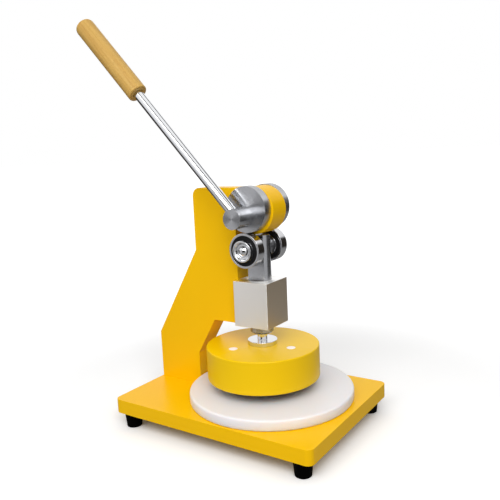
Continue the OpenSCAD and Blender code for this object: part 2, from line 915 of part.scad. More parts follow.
module collar_grub_screw() {
    color("#3a3c40")
        translate([-stem_d / 2 + collar_grub_dog, 0, collar_grub_z])
            rotate([0, -90, 0])
                grub_screw(collar_grub_d, (collar_d - stem_d) / 2);
}

// Cutter head

stud_up = 16;
stud_past_nut = 1;
module spindle() {
    stud_down = housing_top_t + ring_plate_t + washer_t + nut_h + stud_past_nut;
    color("#d5d7d9")
        translate([0, 0, housing_top])
            rotate_extrude()
                polygon([[0, -stud_down], [stud_d / 2, -stud_down], [stud_d / 2, 0],
                    [flange_d / 2, 0], [flange_d / 2, flange_t - disc_bevel],
                    [flange_d / 2 - disc_bevel, flange_t], [neck_d / 2, flange_t],
                    [neck_d / 2, stem_end - housing_top], [stud_d / 2, stem_end - housing_top],
                    [stud_d / 2, stem_end - housing_top + stud_up],
                    [0, stem_end - housing_top + stud_up]]);
}

// Puts its children at each screw of the cutting ring
module at_ring_screws() {
    for (i = [0:plugs_n - 1])
        rotate(360 * i / plugs_n)
            translate([plug_circle_r, 0, 0])
                children();
}

ring_screw_sink = 1.5;
ring_screw_short = 0.5;
module cutter_housing() {
    color("#f2bb05")
        difference() {
            translate([0, 0, housing_z])
                rounded_disc(housing_d / 2, housing_h, housing_edge_r);
            translate([0, 0, housing_z - over])
                cylinder(r = skirt_r, h = housing_h - housing_top_t + over);
            translate([0, 0, ring_top - over])
                cylinder(r = spindle_hole_r, h = housing_top_t + 2 * over);
            at_ring_screws() {
                translate([0, 0, ring_top - over])
                    cylinder(d = ring_screw_d + 2 * thread_gap, h = housing_top_t + 2 * over);
                translate([0, 0, ring_top + ring_screw_sink])
                    cylinder(d = plug_d + 2 * seat_gap, h = housing_top_t);
            }
        }
}

// Cup of tool steel whose rim is sharpened from outside, so that the sample is cut true
edge_w = 0.2;
module cutting_ring() {
    inner = sample_d / 2;
    color("#9fa3a8")
        difference() {
            rotate_extrude()
                polygon([[0, ring_top - ring_plate_t], [inner, ring_top - ring_plate_t],
                    [inner, edge_z], [inner + edge_w, edge_z], [ring_r, edge_z + ring_bevel_h],
                    [ring_r, ring_top], [0, ring_top]]);
            translate([0, 0, ring_top - ring_plate_t - over])
                cylinder(r = spindle_hole_r, h = ring_plate_t + 2 * over);
            at_ring_screws()
                translate([0, 0, ring_top - ring_plate_t - over])
                    cylinder(d = ring_screw_d + 2 * thread_gap, h = ring_plate_t + 2 * over);
        }
}

plug_gap = 0.2;
ring_screw_head_h = housing_top_t - ring_screw_sink - plug_t - plug_gap;
module ring_screws() {
    color("#3a3c40")
        at_ring_screws()
            translate([0, 0, ring_top + ring_screw_sink])
                mirror([0, 0, 1])
                    socket_screw(ring_screw_d, ring_screw_sink + ring_plate_t - ring_screw_short,
                        ring_screw_head_h, plug_d - head_room);
}

plug_proud = 0.2;
module screw_plugs() {
    color("#fafafa")
        at_ring_screws()
            translate([0, 0, housing_top - plug_t])
                cylinder(d = plug_d, h = plug_t + plug_proud);
}

module spindle_washer() {
    color("#b9bcc0")
        translate([0, 0, ring_top - ring_plate_t - washer_t])
            ring(washer_d / 2, spindle_hole_r, washer_t);
}

module spindle_nut() {
    color("#b9bcc0")
        translate([0, 0, ring_top - ring_plate_t - washer_t - nut_h])
            difference() {
                cylinder(d = nut_w / cos(30), h = nut_h, $fn = 6);
                translate([0, 0, -over])
                    cylinder(r = spindle_hole_r, h = nut_h + 2 * over);
            }
}

foam_gap = 0.5;
foam_inset = 1;
foam_hole_d = 30;
module foam_ejector() {
    foam_z = edge_z + foam_inset;
    foam_top = ring_top - ring_plate_t;
    color("#3d4a57")
        translate([0, 0, foam_z])
            ring(sample_d / 2 - foam_gap, foam_hole_d / 2, foam_top - foam_z);
}

base_plate();
foot_front_left();
foot_front_right();
foot_rear_left();
foot_rear_right();
foot_screws();
cutting_pad();
frame_plate();
frame_bolts();
shaft_tube();
shaft_bushes();
guide_block();
block_screws();
upper_guide_bush();
lower_guide_bush();
return_spring();
cam_shaft();
front_eccentric();
rear_eccentric();
disc_keys();
disc_grub_screws();
lever_rod();
lever_grip();
ram();
roller_axle();
axle_spacers();
front_inner_race();
rear_inner_race();
end_washers();
domed_screws();
stop_collar();
collar_grub_screw();
front_outer_race();
front_seals();
front_balls();
front_cage();
rear_outer_race();
rear_seals();
rear_balls();
rear_cage();
spindle();
cutter_housing();
cutting_ring();
ring_screws();
screw_plugs();
spindle_washer();
spindle_nut();
foam_ejector();
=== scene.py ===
"""Circular sample cutter: a bench press whose lever turns two eccentric discs over a ram."""
from math import cos, radians, sin

import bpy
from mathutils import Matrix, Vector


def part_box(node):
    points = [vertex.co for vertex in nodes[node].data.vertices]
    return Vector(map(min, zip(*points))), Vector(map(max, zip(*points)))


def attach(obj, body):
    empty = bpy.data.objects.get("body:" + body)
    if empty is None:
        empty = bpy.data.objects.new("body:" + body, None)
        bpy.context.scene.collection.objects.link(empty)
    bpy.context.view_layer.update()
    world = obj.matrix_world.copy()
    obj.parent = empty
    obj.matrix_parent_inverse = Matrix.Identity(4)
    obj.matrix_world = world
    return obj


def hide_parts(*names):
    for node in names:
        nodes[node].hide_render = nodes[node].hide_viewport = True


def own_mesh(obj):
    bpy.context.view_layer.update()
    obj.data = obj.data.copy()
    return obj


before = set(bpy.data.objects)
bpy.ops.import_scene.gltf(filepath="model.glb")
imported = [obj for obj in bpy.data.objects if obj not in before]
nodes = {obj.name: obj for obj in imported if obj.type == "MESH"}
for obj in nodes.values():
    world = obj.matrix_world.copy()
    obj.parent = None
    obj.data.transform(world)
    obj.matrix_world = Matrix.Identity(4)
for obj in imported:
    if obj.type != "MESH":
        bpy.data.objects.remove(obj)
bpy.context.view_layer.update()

# Camera.
# It stands at the operator's left, a little above the cutter head and only 0.7 m away, and
# it is tilted slightly, so that the column leans to the left.
camera_at = (0.3748, -0.5721, 0.2751)
azimuth, elevation, tilt = radians(34.1), radians(9.2), radians(-2.5)
back = Vector((sin(azimuth) * cos(elevation), -cos(azimuth) * cos(elevation), sin(elevation)))
level = Vector((cos(azimuth), sin(azimuth), 0))
right = level * cos(tilt) + back.cross(level) * sin(tilt)
camera = bpy.data.objects.new("camera", bpy.data.cameras.new("camera"))
bpy.context.scene.collection.objects.link(camera)
camera.data.sensor_width = 36
camera.data.lens = 42.7
camera.data.clip_start = 0.01
camera.matrix_world = (Matrix.Translation(camera_at)
                       @ Matrix((right, back.cross(right), back)).transposed().to_4x4())
bpy.context.scene.camera = camera
bpy.context.scene.view_settings.view_transform = "Standard"


# Table, backdrop and lamps.
# The press stands on a white table in a white tent. Polished metal also mirrors the dark frame
# of the soft lamp overhead, and the dark room through the tent's three openings, which are wide
# before the press and narrower behind it and at its left.
def linear(colour):
    """The linear values of an sRGB hex colour."""
    parts = [int(colour[i:i + 2], 16) / 255 for i in (1, 3, 5)]
    return [c / 12.92 if c < 0.04045 else ((c + 0.055) / 1.055) ** 2.4 for c in parts] + [1]


def fill(node, inputs):
    """Sets a node's inputs to values, or links them to the outputs of other nodes."""
    for key, value in inputs.items():
        if isinstance(value, bpy.types.NodeSocket):
            node.id_data.links.new(value, node.inputs[key])
        else:
            node.inputs[key].default_value = value


def add_node(tree, kind, inputs=(), **settings):
    """Adds a node, gives it its settings, and fills or links its inputs."""
    made = tree.nodes.new("ShaderNode" + kind)
    for key, value in settings.items():
        setattr(made, key, value)
    fill(made, dict(inputs))
    return made


def toward_opening(tree, way):
    """How far a way leads into one of the tent's openings, from 0 to 1."""
    # Each vector points into an opening, which is wider the longer the vector is
    behind, before, left = (0.62, 0.78, -0.1), (0.13, -1.09, -0.4), (-1, 0, -0.5)
    nearest = -1
    for opening in (behind, before, left):
        near = add_node(tree, "VectorMath", {0: way, 1: opening}, operation="DOT_PRODUCT")
        nearest = add_node(tree, "Math", {0: nearest, 1: near.outputs["Value"]},
                           operation="MAXIMUM").outputs[0]
    return add_node(tree, "MapRange", {"Value": nearest, "From Min": 0.84, "From Max": 0.93},
                    interpolation_type="SMOOTHSTEP").outputs[0]


bench_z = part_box("foot_front_left")[0].z
bpy.ops.object.select_all(action="DESELECT")
bpy.ops.mesh.primitive_circle_add(vertices=64, radius=60, fill_type="NGON",
                                  location=(0, 0, bench_z))
table = bpy.context.object
table.name = "table"
white_table = bpy.data.materials.new("white_table")
white_table.use_nodes = True
tree = white_table.node_tree
tree.nodes.clear()
ray = add_node(tree, "LightPath")
place = add_node(tree, "TexCoord").outputs["Object"]
distance = add_node(tree, "VectorMath", {0: place}, operation="LENGTH").outputs["Value"]
# The table keeps the press's shadow near it and is plain white from 0.6 m on
far = add_node(tree, "MapRange", {"Value": distance, "From Min": 0.3, "From Max": 0.6},
               interpolation_type="SMOOTHSTEP")
lit = add_node(tree, "BsdfDiffuse", {"Color": linear("#a8a8a8")})
near = add_node(tree, "BsdfDiffuse", {"Color": (1.12, 1.12, 1.12, 1)})
white = add_node(tree, "Emission", {"Color": linear("#ffffff"), "Strength": 1.2})
seen = add_node(tree, "MixShader", {0: far.outputs[0], 1: near.outputs[0], 2: white.outputs[0]})
# In mirrors the table ends within 0.9 m in a grey floor, which is dark towards the openings
gone = add_node(tree, "MapRange", {"Value": distance, "From Min": 0.5, "From Max": 0.9},
                interpolation_type="SMOOTHSTEP")
outward = add_node(tree, "VectorMath", {0: place}, operation="NORMALIZE")
grey = add_node(tree, "Emission", {"Color": linear("#c8c8ca"), "Strength": 1.0})
dark = add_node(tree, "Emission", {"Color": linear("#2e2a26"), "Strength": 1.0})
edge = add_node(tree, "MixShader", {0: toward_opening(tree, outward.outputs[0]),
                                    1: grey.outputs[0], 2: dark.outputs[0]})
mirrored = add_node(tree, "MixShader", {0: gone.outputs[0], 1: lit.outputs[0],
                                        2: edge.outputs[0]})
not_camera = add_node(tree, "MixShader", {0: ray.outputs["Is Glossy Ray"], 1: lit.outputs[0],
                                          2: mirrored.outputs[0]})
add_node(tree, "OutputMaterial", {0: add_node(tree, "MixShader", {
    0: ray.outputs["Is Camera Ray"], 1: not_camera.outputs[0], 2: seen.outputs[0]}).outputs[0]})
table.data.materials.append(white_table)

world = bpy.data.worlds.new("studio")
bpy.context.scene.world = world
world.use_nodes = True
tree = world.node_tree
tree.nodes.clear()
ray = add_node(tree, "LightPath")
way = add_node(tree, "TexCoord").outputs["Generated"]
height = add_node(tree, "SeparateXYZ", {0: way}).outputs["Z"]
room = add_node(tree, "ValToRGB", {0: height})
room.color_ramp.interpolation = "EASE"
room.color_ramp.elements[0].color = linear("#eeeef0")
room.color_ramp.elements[1].color = linear("#ffffff")
for stop, colour in ((0.71, "#ffffff"), (0.74, "#101012"), (0.85, "#101012"), (0.88, "#ffffff")):
    room.color_ramp.elements.new(stop).color = linear(colour)
around = add_node(tree, "Mix", {0: toward_opening(tree, way), 6: room.outputs[0],
                                7: linear("#2e2a26")}, data_type="RGBA")
mirrored = add_node(tree, "Background", {"Color": around.outputs[2], "Strength": 1.2})
# Little light comes in low, so that it is dark between the feet
sky = add_node(tree, "MapRange", {"Value": height, "From Min": 0.2, "From Max": 0.6,
                                  "To Min": 0.03, "To Max": 0.66})
soft = add_node(tree, "Background", {"Color": linear("#ffffff"), "Strength": sky.outputs[0]})
white = add_node(tree, "Background", {"Color": linear("#ffffff"), "Strength": 1.0})
for_metal = add_node(tree, "MixShader", {0: ray.outputs["Is Glossy Ray"], 1: soft.outputs[0],
                                         2: mirrored.outputs[0]})
add_node(tree, "OutputWorld", {0: add_node(tree, "MixShader", {
    0: ray.outputs["Is Camera Ray"], 1: for_metal.outputs[0], 2: white.outputs[0]}).outputs[0]})

lamps_aim = Vector((0, 0, 0.12))
for name, lamp_at, size, power in (("lamp_front", (0.1, -1.3, 1.1), 0.8, 7),
                                   ("lamp_right", (0.8, -0.9, 1.1), 0.8, 11),
                                   ("lamp_low", (-0.2, -1.4, 0.25), 0.6, 1.5)):
    lamp = bpy.data.objects.new(name, bpy.data.lights.new(name, "AREA"))
    bpy.context.scene.collection.objects.link(lamp)
    lamp.visible_glossy = name != "lamp_low"
    lamp.data.size = size
    lamp.data.energy = power
    lamp.location = lamp_at
    lamp.rotation_euler = (Vector(lamp_at) - lamps_aim).to_track_quat("Z", "Y").to_euler()


# Base plate.
# Steel plate 17 mm thick with rounded corners and edges, stove enamelled in yellow. The
# bolts of the column come up through it from sunk holes in its underside.
def new_material(name):
    """A new material with its node tree, its shader and its piece's own coordinates."""
    made = bpy.data.materials.new(name)
    made.use_nodes = True
    tree = made.node_tree
    return made, tree, tree.nodes["Principled BSDF"], add_node(tree, "TexCoord").outputs["Object"]


def take(piece):
    """Selects a piece alone, for the operators that follow."""
    bpy.ops.object.select_all(action="DESELECT")
    piece.select_set(True)
    bpy.context.view_layer.objects.active = piece


def soften(piece, width, segments=3):
    """Rounds a piece's edges, shades its curves smooth and keeps its flat faces flat."""
    take(piece)
    edges = piece.modifiers.new("edges", "BEVEL")
    edges.width, edges.segments = width, segments
    edges.limit_method, edges.angle_limit = "ANGLE", radians(30)
    bpy.ops.object.modifier_apply(modifier=edges.name)
    bpy.ops.object.shade_smooth_by_angle(angle=radians(35))
    faces = piece.modifiers.new("faces", "WEIGHTED_NORMAL")
    faces.keep_sharp = True
    bpy.ops.object.modifier_apply(modifier=faces.name)


def dress(piece, material, body, slot, *stands_for):
    """Gives a finished piece its material and its body, and hides the nodes it stands for. The
    slot is not used.
    """
    piece.data.materials.clear()
    piece.data.materials.append(material)
    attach(piece, body)
    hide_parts(*stands_for)


def box_piece(name, low, high):
    """A block between two corners."""
    bpy.ops.object.select_all(action="DESELECT")
    bpy.ops.mesh.primitive_cube_add(size=1, location=(low + high) / 2)
    piece = bpy.context.object
    piece.name = piece.data.name = name
    bpy.ops.object.mode_set(mode="EDIT")
    bpy.ops.transform.resize(value=high - low, center_override=(low + high) / 2)
    bpy.ops.object.mode_set(mode="OBJECT")
    bpy.ops.object.transform_apply()
    return piece


def turned(name, profile, sides=96):
    """A piece turned about Z: a circle's rim is extruded along (radius, height) points."""
    bpy.ops.object.select_all(action="DESELECT")
    radius, height = profile[0]
    bpy.ops.mesh.primitive_circle_add(vertices=sides, radius=radius, location=(0, 0, height))
    piece = bpy.context.object
    piece.name = piece.data.name = name
    bpy.ops.object.transform_apply()
    bpy.ops.object.mode_set(mode="EDIT")
    bpy.ops.mesh.select_all(action="SELECT")
    for wide, high in profile[1:]:
        bpy.ops.mesh.extrude_edges_move(
            TRANSFORM_OT_translate={"value": (0, 0, high - height)})
        bpy.ops.transform.resize(value=(wide / radius, wide / radius, 1),
                                 center_override=(0, 0, 0))
        radius, height = wide, high
    bpy.ops.mesh.select_all(action="SELECT")
    bpy.ops.mesh.remove_doubles(threshold=1e-6)
    bpy.ops.mesh.fill_holes(sides=0)
    bpy.ops.mesh.normals_make_consistent(inside=False)
    bpy.ops.object.mode_set(mode="OBJECT")
    return piece


def set_in_place(piece, place, turn=(0, 0, 0)):
    """Turns a piece that was made upright at the origin, and moves it to its place."""
    take(piece)
    piece.rotation_euler, piece.location = turn, place
    bpy.ops.object.transform_apply()
    return piece


def cut(piece, cutter):
    """Cuts the cutter out of a piece and throws the cutter away."""
    take(piece)
    hole = piece.modifiers.new("hole", "BOOLEAN")
    hole.operation, hole.solver, hole.object = "DIFFERENCE", "EXACT", cutter
    bpy.ops.object.modifier_apply(modifier=hole.name)
    bpy.data.objects.remove(cutter)


enamel, tree, shader, place = new_material("yellow_stove_enamel")
# Orange peel of the baked enamel, 2 mm from crest to crest
peel = add_node(tree, "TexNoise", {"Vector": place, "Scale": 500, "Detail": 2})
bump = add_node(tree, "Bump", {"Height": peel.outputs[0], "Strength": 0.06, "Distance": 0.0002})
# Faint clouds where the coat is thinner, 70 mm across
cloud = add_node(tree, "TexNoise", {"Vector": place, "Scale": 14, "Detail": 3})
tint = add_node(tree, "Mix", {0: cloud.outputs[0], 6: linear("#fbc600"), 7: linear("#f8bf00")},
                data_type="RGBA")
fill(shader, {"Normal": bump.outputs[0], "Base Color": tint.outputs[2], "Roughness": 0.34,
              "Specular IOR Level": 0.15})

base_low, base_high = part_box("base_plate")
base = box_piece("base", base_low, base_high)
bpy.ops.object.mode_set(mode="EDIT")
bpy.ops.mesh.select_mode(type="EDGE")
bpy.ops.mesh.select_all(action="DESELECT")
bpy.ops.object.mode_set(mode="OBJECT")
# The four upright edges are rounded
for edge in base.data.edges:
    a, b = (base.data.vertices[i].co for i in edge.vertices)
    edge.select = abs(a.z - b.z) > 0.01
bpy.ops.object.mode_set(mode="EDIT")
bpy.ops.mesh.bevel(offset=0.008, segments=10, affect="EDGES")
bpy.ops.object.mode_set(mode="OBJECT")
bolt_r, head_r, sunk = 0.00405, 0.00675, 0.0085
for bolt_x in (-0.13925, -0.12025, -0.10125):
    sunk_hole = turned("sunk_hole", [(head_r, -0.002), (head_r, sunk), (bolt_r, sunk),
                                     (bolt_r, 0.019)], 32)
    cut(base, set_in_place(sunk_hole, (bolt_x, 0, base_low.z)))
soften(base, 0.0014)
dress(base, enamel, "stand", "yellow_paint", "base_plate")


# Feet.
# Four tapered feet moulded in black rubber, with a sunk hole for the screw that holds them.
# Moulded rubber has a fine grain and a dull shine.
def copy_of(piece, name):
    """A copy of a piece, with a mesh of its own."""
    made = piece.copy()
    made.data = piece.data.copy()
    made.name = made.data.name = name
    bpy.context.collection.objects.link(made)
    return made


rubber, tree, shader, place = new_material("moulded_rubber")
# Grain of the mould, 0.6 mm across
grain = add_node(tree, "TexNoise", {"Vector": place, "Scale": 1600, "Detail": 2})
bump = add_node(tree, "Bump", {"Height": grain.outputs[0], "Strength": 0.15, "Distance": 0.0002})
fill(shader, {"Normal": bump.outputs[0], "Base Color": linear("#020202"), "Roughness": 0.6,
              "Specular IOR Level": 0.03})

toe_r, top_r, foot_h = 0.009, 0.011, 0.019
screw_r, head_r, head_h = 0.00255, 0.0055, 0.009
foot = turned("foot", [(toe_r, 0), (top_r, foot_h), (screw_r, foot_h), (screw_r, head_h),
                       (head_r, head_h), (head_r, 0), (toe_r, 0)], 48)
for name in ("foot_front_left", "foot_front_right", "foot_rear_left", "foot_rear_right"):
    low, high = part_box(name)
    rubber_foot = copy_of(foot, "rubber_" + name)
    set_in_place(rubber_foot, ((low.x + high.x) / 2, (low.y + high.y) / 2, low.z))
    soften(rubber_foot, 0.001)
    dress(rubber_foot, rubber, "stand", "rubber", name)
bpy.data.objects.remove(foot)


# Zinc plated screws.
# The screws of the feet, seen from below only, and the nut and washer inside the housing. Thin
# zinc has a cold, cloudy shine.
def finish_nodes(material, *names):
    """Gives a better material to nodes whose own shape is right."""
    for name in names:
        nodes[name].data.materials.clear()
        nodes[name].data.materials.append(material)


zinc, tree, shader, place = new_material("zinc_plated_steel")
# Clouds in the zinc, 2.5 mm across
spangle = add_node(tree, "TexNoise", {"Vector": place, "Scale": 400, "Detail": 3})
dull = add_node(tree, "MapRange", {"Value": spangle.outputs[0], "To Min": 0.12, "To Max": 0.24})
fill(shader, {"Roughness": dull.outputs[0], "Base Color": linear("#c9cbcd"), "Metallic": 1})
finish_nodes(zinc, "foot_screws", "spindle_washer", "spindle_nut")

# Cutting pad.
# Loose round block of white polyethylene that the ring cuts against. Light goes a little
# way into it, so that its rim looks soft, and the turning tool has left faint rings.
polyethylene, tree, shader, place = new_material("white_polyethylene")
# The tool's rings lie round the pad's centre, which is 10 mm right of the spindle. They are
# drawn 3 mm apart, since the real ones are too fine to show
around = add_node(tree, "Mapping", {"Vector": place, "Location": (-0.01, 0, 0)})
rings = add_node(tree, "TexWave", {"Vector": around.outputs[0], "Scale": 105, "Distortion": 0.4},
                 wave_type="RINGS", rings_direction="Z")
bump = add_node(tree, "Bump", {"Height": rings.outputs[1], "Strength": 0.02, "Distance": 0.0002})
fill(shader, {"Normal": bump.outputs[0], "Base Color": linear("#eceaee"), "Roughness": 0.42,
              "Specular IOR Level": 0.35, "Subsurface Weight": 1.0,
              "Subsurface Radius": (1.0, 0.8, 0.7), "Subsurface Scale": 0.012})

pad_low, pad_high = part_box("cutting_pad")
pad_r = (pad_high.x - pad_low.x) / 2
pad = turned("pad", [(pad_r, 0), (pad_r, pad_high.z - pad_low.z)], 160)
set_in_place(pad, ((pad_low.x + pad_high.x) / 2, 0, pad_low.z))
soften(pad, 0.0022, 5)
dress(pad, polyethylene, "stand", "white_plastic", "cutting_pad")

# Column and arm.
# One plate 25 mm thick on edge, sawn to a C shape with a sloping back, its edges ground
# round before it was enamelled. The shaft's tube lies in a round seat at its top.
tube_low, tube_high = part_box("shaft_tube")
tube_at = (tube_low + tube_high) / 2
tube_r = (tube_high.z - tube_low.z) / 2
plate_t = 0.025
frame_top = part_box("frame_plate")[1].z
# From the foot of the back round the throat, the arm and the top, as (x, z)
corners = [(-0.152, -0.0125), (-0.0885, -0.0125), (-0.0885, 0.0295), (-0.061, 0.0755),
           (-0.023, 0.0755), (-0.023, tube_at.z), (-0.009, tube_at.z), (-0.009, frame_top),
           (-0.0845, frame_top), (-0.0845, 0.1615), (-0.152, 0.049)]
bpy.ops.object.select_all(action="DESELECT")
bpy.ops.mesh.primitive_plane_add(size=0.01, location=(corners[0][0], -plate_t / 2, corners[0][1]))
column = bpy.context.object
column.name = column.data.name = "column"
bpy.ops.object.transform_apply()
bpy.ops.object.mode_set(mode="EDIT")
bpy.ops.mesh.select_mode(type="VERT")
bpy.ops.mesh.merge(type="CENTER")
for (x0, z0), (x1, z1) in zip(corners, corners[1:] + corners[:1]):
    bpy.ops.mesh.extrude_region_move(TRANSFORM_OT_translate={"value": (x1 - x0, 0, z1 - z0)})
bpy.ops.mesh.select_all(action="SELECT")
bpy.ops.mesh.remove_doubles(threshold=1e-6)
bpy.ops.mesh.edge_face_add()
bpy.ops.mesh.select_all(action="DESELECT")
bpy.ops.object.mode_set(mode="OBJECT")
# The rear corner of the top is rounded
for vertex in column.data.vertices:
    vertex.select = vertex.co.x < -0.08 and vertex.co.z > frame_top - 0.01
bpy.ops.object.mode_set(mode="EDIT")
bpy.ops.mesh.bevel(offset=0.01, segments=10, affect="VERTICES")
bpy.ops.mesh.select_all(action="SELECT")
bpy.ops.mesh.extrude_region_move(TRANSFORM_OT_translate={"value": (0, plate_t, 0)})
bpy.ops.mesh.select_all(action="SELECT")
bpy.ops.mesh.normals_make_consistent(inside=False)
bpy.ops.object.mode_set(mode="OBJECT")
# A piece that lies along Y is turned upright first, and then laid down
laid = (radians(90), 0, 0)
seat = turned("seat", [(tube_r, -0.02), (tube_r, 0.02)])
cut(column, set_in_place(seat, tube_at, laid))
soften(column, 0.0014)
dress(column, enamel, "stand", "yellow_paint", "frame_plate")

# Black screws.
# Bolts under the column, the block's screws, the ring's screws, the keys and the grub screws,
# blackened by an oxide bath, which leaves a dark oily shine.
black_oxide, tree, shader, place = new_material("black_oxide_steel")
# Stains of the bath, 2 mm across
bath = add_node(tree, "TexNoise", {"Vector": place, "Scale": 500, "Detail": 3})
dull = add_node(tree, "MapRange", {"Value": bath.outputs[0], "To Min": 0.3, "To Max": 0.5})
fill(shader, {"Roughness": dull.outputs[0], "Base Color": linear("#2c2d30"), "Metallic": 0.7})
finish_nodes(black_oxide, "frame_bolts", "block_screws", "disc_keys", "disc_grub_screws",
             "collar_grub_screw", "ring_screws")

# Shaft tube.
# Thick steel tube, enamelled with the column. Its bore for the two bronze bushes lies low
# and towards the column, where the discs press on the bearings.
shaft_low, shaft_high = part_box("cam_shaft")
shaft_z = (shaft_low.z + shaft_high.z) / 2
bush_r = 0.01452
tube = turned("tube", [(tube_r, tube_low.y), (tube_r, tube_high.y)], 128)
set_in_place(tube, tube_at, laid)
bore = turned("bore", [(bush_r, -0.03), (bush_r, 0.03)], 64)
cut(tube, set_in_place(bore, (0, 0, shaft_z), laid))
soften(tube, 0.0005)
dress(tube, enamel, "stand", "yellow_paint", "shaft_tube")

# Bushes.
# Plain bushes of sintered bronze, pressed into the tube and the guide block. The metal is warm
# in colour and slightly rough.
bronze, tree, shader, place = new_material("sintered_bronze")
# Grains of the sintered powder, 0.3 mm across
powder = add_node(tree, "TexNoise", {"Vector": place, "Scale": 3000, "Detail": 1})
dull = add_node(tree, "MapRange", {"Value": powder.outputs[0], "To Min": 0.3, "To Max": 0.5})
fill(shader, {"Roughness": dull.outputs[0], "Base Color": linear("#b98a4e"), "Metallic": 1})
finish_nodes(bronze, "shaft_bushes", "upper_guide_bush", "lower_guide_bush")

# Guide block.
# Block of stainless steel, ground to a fine satin, with bright broken edges. It is screwed
# to the arm and guides the ram.
satin_steel, tree, shader, place = new_material("ground_stainless_steel")
# Grinding lines round the block, 17 mm long and drawn 0.4 mm wide so that they show
stretch = add_node(tree, "Mapping", {"Vector": place, "Scale": (60, 60, 2500)})
lines = add_node(tree, "TexNoise", {"Vector": stretch.outputs[0], "Scale": 1, "Detail": 3})
dull = add_node(tree, "MapRange", {"Value": lines.outputs[0], "To Min": 0.34, "To Max": 0.44})
bump = add_node(tree, "Bump", {"Height": lines.outputs[0], "Strength": 0.12, "Distance": 0.0001})
tangent = add_node(tree, "Tangent", direction_type="RADIAL", axis="Z")
fill(shader, {"Roughness": dull.outputs[0], "Normal": bump.outputs[0],
              "Base Color": linear("#fbfaf8"), "Metallic": 1, "Anisotropic": 0.9,
              "Anisotropic Rotation": 0.25, "Tangent": tangent.outputs[0]})

block_low, block_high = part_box("guide_block")
ram_way_r, lip_r, lip_z = 0.016, 0.014, 0.052
block = box_piece("block", block_low, block_high)
bore = turned("bore", [(ram_way_r, -0.01), (ram_way_r, lip_z), (lip_r, lip_z), (lip_r, 0.06)], 64)
cut(block, set_in_place(bore, (0, 0, block_low.z)))
soften(block, 0.0007)
dress(block, satin_steel, "stand", "brushed_steel", "guide_block")
# The two faces across X get a darker, warmer copy of the steel, which is painted shade: these
# sides look darker than the front only because of how the light falls on them
side_shade_steel = satin_steel.copy()
side_shade_steel.name = "stainless_steel_painted_shade"
fill(side_shade_steel.node_tree.nodes["Principled BSDF"], {"Base Color": linear("#e8d6bc")})
block.data.materials.append(side_shade_steel)
for face in block.data.polygons:
    if abs(face.normal.x) > 0.9 and abs(face.center.x) > 0.02:
        face.material_index = 1

# Return spring.
# Wound from zinc plated wire round the ram's stem. It is squeezed between the lower bush and
# the ram's shoulder when the lever comes down.
spring_low, spring_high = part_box("return_spring")
wire_r, turns = 0.0008, 5
bpy.ops.object.select_all(action="DESELECT")
bpy.ops.mesh.primitive_circle_add(vertices=16, radius=wire_r, rotation=laid,
                                  location=(spring_high.x - wire_r, 0, spring_low.z + wire_r))
spring = bpy.context.object
spring.name = spring.data.name = "spring"
bpy.ops.object.transform_apply()
coil = spring.modifiers.new("coil", "SCREW")
coil.iterations, coil.steps = turns, 32
coil.screw_offset = (spring_high.z - spring_low.z - 2 * wire_r) / turns
bpy.ops.object.modifier_apply(modifier=coil.name)
bpy.ops.object.mode_set(mode="EDIT")
bpy.ops.mesh.select_all(action="SELECT")
bpy.ops.mesh.fill_holes(sides=0)
bpy.ops.mesh.normals_make_consistent(inside=False)
bpy.ops.object.mode_set(mode="OBJECT")
bpy.ops.object.shade_smooth_by_angle(angle=radians(60))
dress(spring, zinc, "stand", "zinc_steel", "return_spring")
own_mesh(spring)

# Shaft and eccentric discs.
# Turned from bright steel bar. The tool's rings scatter the light at right angles to
# themselves, which draws rays across the end faces and bands along the sides.
turned_steel, tree, shader, place = new_material("turned_steel")
# Duller patches of handled bar, 8 mm across
blotch = add_node(tree, "TexNoise", {"Vector": place, "Scale": 120, "Detail": 4})
dull = add_node(tree, "MapRange", {"Value": blotch.outputs[0], "To Min": 0.2, "To Max": 0.28})
tangent = add_node(tree, "Tangent", direction_type="RADIAL", axis="Y")
fill(shader, {"Roughness": dull.outputs[0], "Base Color": linear("#b4b5b8"), "Metallic": 1,
              "Anisotropic": 0.95, "Anisotropic Rotation": 0.25, "Tangent": tangent.outputs[0]})

# The lever's axis crosses the shaft in its boss, and leans back over the column
lever_y = -0.0406
lean = radians(-43)
shaft_r, socket_r, socket_foot = 0.0115, 0.00605, -0.0023
shaft = turned("shaft", [(shaft_r, -shaft_high.y), (shaft_r, -shaft_low.y)])
set_in_place(shaft, (0, 0, shaft_z), laid)
socket = turned("socket", [(socket_r, socket_foot), (socket_r, 0.02)], 48)
cut(shaft, set_in_place(socket, (0, lever_y, shaft_z), (0, lean, 0)))
soften(shaft, 0.0008)
dress(shaft, turned_steel, "lever", "turned_steel", "cam_shaft")

# Both discs are turned alike, then bored off their centre and drilled for their grub screws
low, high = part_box("front_eccentric")
disc_r, disc_t = (high.z - low.z) / 2, high.y - low.y
bore_r, grub_r = 0.01152, 0.00305
blank = turned("blank", [(disc_r, -disc_t / 2), (disc_r, disc_t / 2)], 128)
bore = turned("bore", [(bore_r, -0.04), (bore_r, 0.04)], 64)
grub_hole = turned("grub_hole", [(grub_r, 0), (grub_r, 0.05)], 32)
for side in ("front", "rear"):
    low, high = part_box(side + "_eccentric")
    disc_at = (low + high) / 2
    disc = set_in_place(copy_of(blank, side + "_disc"), disc_at, laid)
    cut(disc, set_in_place(copy_of(bore, "cutter"), (0, 0, shaft_z), laid))
    cut(disc, set_in_place(copy_of(grub_hole, "cutter"), (0, disc_at.y, shaft_z),
                           (0, radians(-90), 0)))
    soften(disc, 0.0008)
    dress(disc, turned_steel, "lever", "turned_steel", side + "_eccentric")
for pattern in (blank, bore, grub_hole):
    bpy.data.objects.remove(pattern)

# Lever rod.
# Drawn and polished bar, 12 mm thick, screwed into the shaft's boss. It mirrors the room in
# long streaks.
polished, tree, shader, place = new_material("polished_steel")
